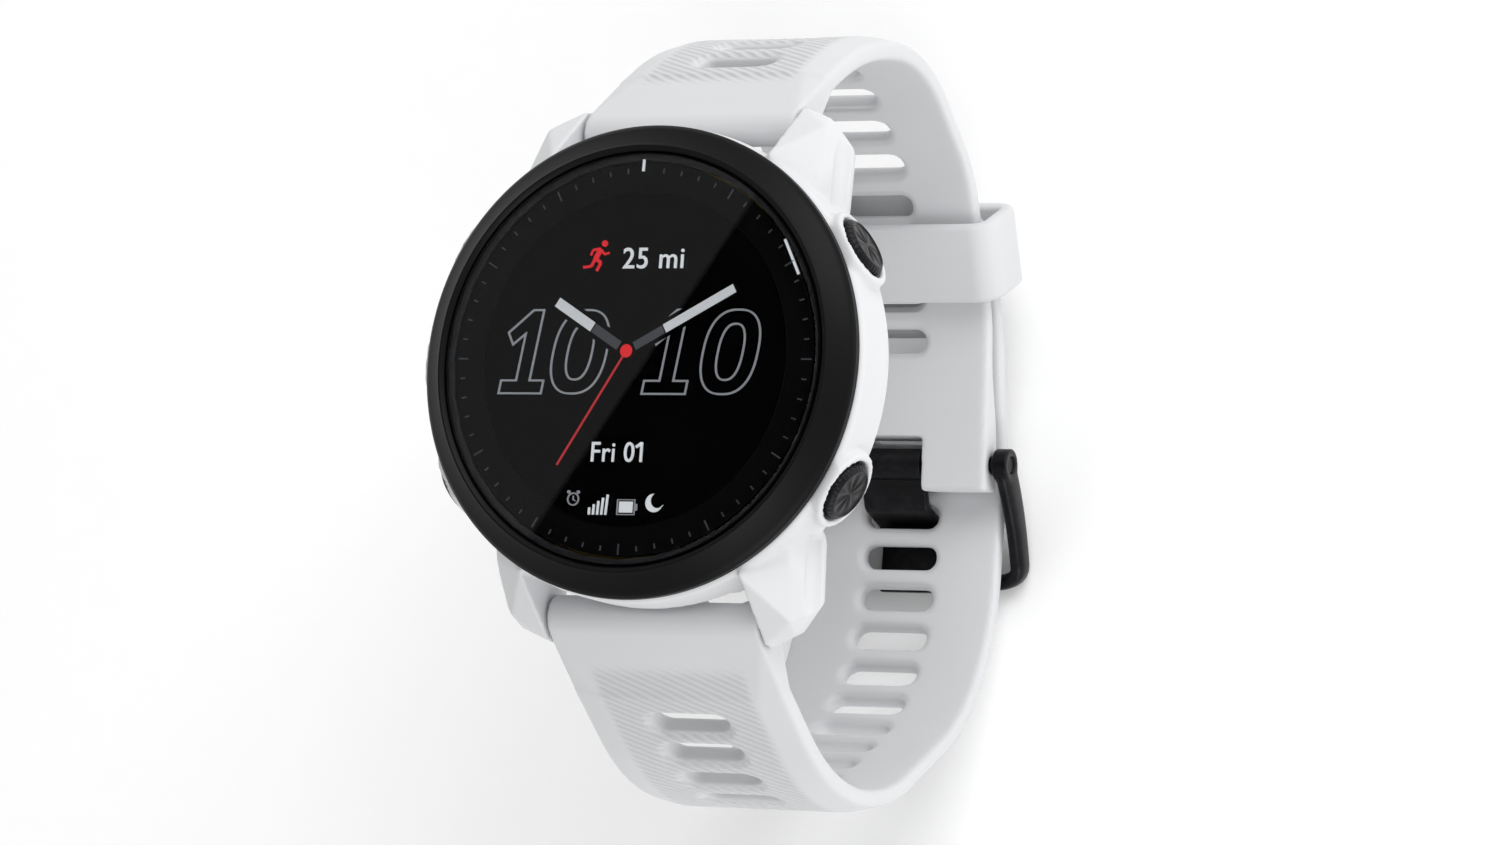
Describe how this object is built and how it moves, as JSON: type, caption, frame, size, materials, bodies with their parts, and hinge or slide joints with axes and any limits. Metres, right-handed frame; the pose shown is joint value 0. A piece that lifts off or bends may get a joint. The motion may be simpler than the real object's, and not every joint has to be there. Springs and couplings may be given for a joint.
{
  "type": "gps running watch",
  "caption": "Round sports watch worn on the wrist, with a flat lens, a black bezel, side push buttons and a buckled silicone strap closed into a loop.",
  "frame": {"origin": "centre of the sensor window's flat outer face, which lies on the wrist", "axes": "+Z out of the lens, +Y towards 12 o'clock, +X towards 3 o'clock"},
  "size_m": [0.0454, 0.0745, 0.067],
  "materials": {
    "white_case": "fine satin moulding",
    "black_bezel": "satin",
    "lens_glass": "polished",
    "grey_rubber": "matte",
    "dial_black": "satin",
    "steel": "brushed",
    "gold_plate": "polished",
    "black_plastic": "matte moulding",
    "circuit_board": "solder mask",
    "battery_foil": "satin foil",
    "black_metal": "matte black coating",
    "white_silicone": "satin silicone"
  },
  "bodies": {
    "case": {"case_frame": "white_case", "bezel": "black_bezel", "lens": "lens_glass", "lens_gasket": "grey_rubber", "dial_ring": "dial_black", "display_panel": "dial_black", "display_tray": "steel", "antenna_ring": "gold_plate", "chassis": "black_plastic", "main_board": "circuit_board", "rf_shield": "steel", "battery": "battery_foil", "vibration_motor": "steel", "buzzer": "gold_plate", "back_gasket": "grey_rubber", "back_cover": "black_plastic", "sensor_window": "lens_glass", "sensor_board": "circuit_board", "case_screw_1": "steel", "case_screw_2": "steel", "case_screw_3": "steel", "case_screw_4": "steel", "contact_block": "black_plastic", "contact_pin_1": "gold_plate", "contact_pin_2": "gold_plate", "contact_pin_3": "gold_plate", "contact_pin_4": "gold_plate", "seal_start": "grey_rubber", "switch_start": "steel", "seal_back": "grey_rubber", "switch_back": "steel", "seal_light": "grey_rubber", "switch_light": "steel", "seal_up": "grey_rubber", "switch_up": "steel", "seal_down": "grey_rubber", "switch_down": "steel", "strap_long": "white_silicone", "strap_short": "white_silicone", "spring_bar_6": "steel", "spring_bar_12": "steel", "buckle_pin": "steel"},
    "start_button": {"button_start": "black_metal", "clip_start": "steel"},
    "back_button": {"button_back": "black_metal", "clip_back": "steel"},
    "light_button": {"button_light": "black_metal", "clip_light": "steel"},
    "up_button": {"button_up": "black_metal", "clip_up": "steel"},
    "down_button": {"button_down": "black_metal", "clip_down": "steel"},
    "lever_6": {"release_lever_6": "steel"},
    "lever_12": {"release_lever_12": "steel"},
    "keeper_loop": {"keeper": "white_silicone"},
    "buckle": {"buckle_frame": "black_metal", "buckle_tongue": "black_metal"}
  },
  "joints": [
    {"name": "start_press", "type": "slide", "parent": "case", "child": "start_button", "axis": [-0.8704, -0.4924, 0], "range_m": [0, 0.0006], "stiffness_N_per_m": 3000, "springref_m": -0.0003},
    {"name": "back_press", "type": "slide", "parent": "case", "child": "back_button", "axis": [-0.8704, 0.4924, 0], "range_m": [0, 0.0006], "stiffness_N_per_m": 3000, "springref_m": -0.0003},
    {"name": "light_press", "type": "slide", "parent": "case", "child": "light_button", "axis": [0.8704, -0.4924, 0], "range_m": [0, 0.0006], "stiffness_N_per_m": 3000, "springref_m": -0.0003},
    {"name": "up_press", "type": "slide", "parent": "case", "child": "up_button", "axis": [1, 0, 0], "range_m": [0, 0.0006], "stiffness_N_per_m": 3000, "springref_m": -0.0003},
    {"name": "down_press", "type": "slide", "parent": "case", "child": "down_button", "axis": [0.8704, 0.4924, 0], "range_m": [0, 0.0006], "stiffness_N_per_m": 3000, "springref_m": -0.0003},
    {"name": "lever_6_draw", "type": "slide", "parent": "case", "child": "lever_6", "axis": [-1, 0, 0], "range_m": [0, 0.0017], "stiffness_N_per_m": 1200, "springref_m": -0.0015},
    {"name": "lever_12_draw", "type": "slide", "parent": "case", "child": "lever_12", "axis": [-1, 0, 0], "range_m": [0, 0.0017], "stiffness_N_per_m": 1200, "springref_m": -0.0015},
    {"name": "keeper_slide", "type": "slide", "parent": "case", "child": "keeper_loop", "axis": [0, 0.891, 0.454], "range_m": [-0.0015, 0.0015]},
    {"name": "buckle_swing", "type": "hinge", "parent": "case", "child": "buckle", "pos_m": [0, -0.0011, -0.0459], "axis": [1, 0, 0], "range_deg": [0, 3.5]}
  ]
}
